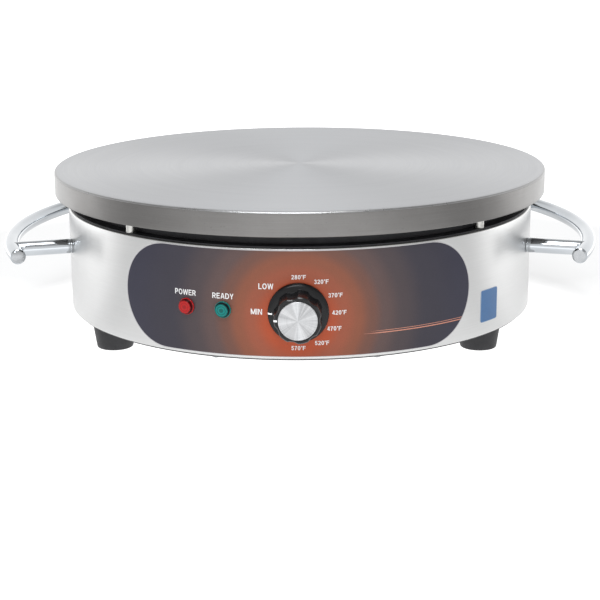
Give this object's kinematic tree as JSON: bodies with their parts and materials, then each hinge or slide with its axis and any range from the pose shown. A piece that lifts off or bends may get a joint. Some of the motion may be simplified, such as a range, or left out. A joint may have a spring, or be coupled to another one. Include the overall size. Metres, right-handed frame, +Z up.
{
  "type": "electric crepe maker",
  "caption": "Round cast iron griddle plate on a brushed steel drum, with a thermostat knob, pilot lamps, rubber feet and a chrome carrying handle on each side.",
  "frame": {"origin": "on the table under the centre of the round plate, level with the bottom of the feet", "axes": "+Z up; the knob and the control panel face -Y and the cord gland faces +Y; the two carrying handles lie at -X and +X"},
  "size_m": [0.4922, 0.436, 0.135],
  "materials": {
    "plate_iron": "ground and seasoned, satin",
    "stainless_small": "turned, satin",
    "zinc_steel": "zinc plated",
    "plain_steel": "rolled strip",
    "element_steel": "heat-tinted sheath",
    "ceramic_white": "unglazed",
    "tab_metal": "stamped",
    "pan_black": "high-temperature enamel, satin",
    "insulation_wool": "needled fibre",
    "copper": "drawn copper",
    "silicone_red": "moulded silicone",
    "drum_stainless": "brushed round the drum",
    "base_steel": "dark grey coated sheet",
    "rubber_black": "moulded, matte",
    "chrome": "polished",
    "overlay_print": "printed polyester film, satin",
    "label_blue": "printed film",
    "knob_black": "moulded phenolic, glossy",
    "knob_aluminium": "spun finish",
    "mark_white": "filled engraving",
    "thermostat_steel": "plated sheet",
    "brass": "turned",
    "lens_red": "translucent, polished",
    "lens_green": "translucent, polished",
    "nylon_white": "moulded",
    "nylon_black": "moulded",
    "wire_red": "braided sleeve",
    "wire_white": "braided sleeve",
    "wire_green": "extruded",
    "wire_dark": "extruded"
  },
  "bodies": {
    "base": {"cooking_plate": "plate_iron", "plate_spacers": "stainless_small", "plate_studs": "zinc_steel", "plate_nuts": "zinc_steel", "heating_element": "element_steel", "element_insulators": "ceramic_white", "element_terminals": "tab_metal", "element_clamp_bars": "plain_steel", "element_clamp_studs": "zinc_steel", "element_clamp_nuts": "zinc_steel", "heat_pan": "pan_black", "insulation_disc": "insulation_wool", "sensor_bulb": "copper", "sensor_clip": "plain_steel", "sensor_clip_screw": "zinc_steel", "capillary_tube": "copper", "pan_grommet": "silicone_red", "thermal_cutout": "thermostat_steel", "cutout_screws": "zinc_steel", "housing_shell": "drum_stainless", "base_plate": "base_steel", "base_screws": "zinc_steel", "feet": "rubber_black", "foot_washers": "plain_steel", "foot_screws": "zinc_steel", "foot_nuts": "zinc_steel", "left_handle_bar": "chrome", "right_handle_bar": "chrome", "handle_posts": "chrome", "handle_bolts": "zinc_steel", "handle_washers": "plain_steel", "control_overlay": "overlay_print", "side_label": "label_blue", "thermostat_body": "thermostat_steel", "thermostat_bushing": "brass", "bushing_nut": "zinc_steel", "thermostat_terminals": "tab_metal", "power_lamp_lens": "lens_red", "ready_lamp_lens": "lens_green", "lamp_bodies": "nylon_white", "lamp_clips": "plain_steel", "terminal_block": "nylon_white", "terminal_barrels": "brass", "terminal_screws": "zinc_steel", "block_screws": "zinc_steel", "earth_stud": "zinc_steel", "earth_nuts": "brass", "gland_body": "nylon_black", "gland_cap": "nylon_black", "gland_seal": "rubber_black", "gland_locknut": "nylon_black", "live_wires": "wire_red", "neutral_wires": "wire_white", "earth_wires": "wire_green", "lamp_wires": "wire_dark"},
    "knob": {"control_knob": "knob_black", "knob_cap": "knob_aluminium", "knob_index_marks": "mark_white", "knob_spring_clip": "plain_steel", "thermostat_shaft": "zinc_steel"}
  },
  "joints": [
    {"name": "knob_turn", "type": "hinge", "parent": "base", "child": "knob", "pos_m": [0.002, -0.2, 0.0582], "axis": [0, 1, 0], "range_deg": [0, 270]}
  ]
}
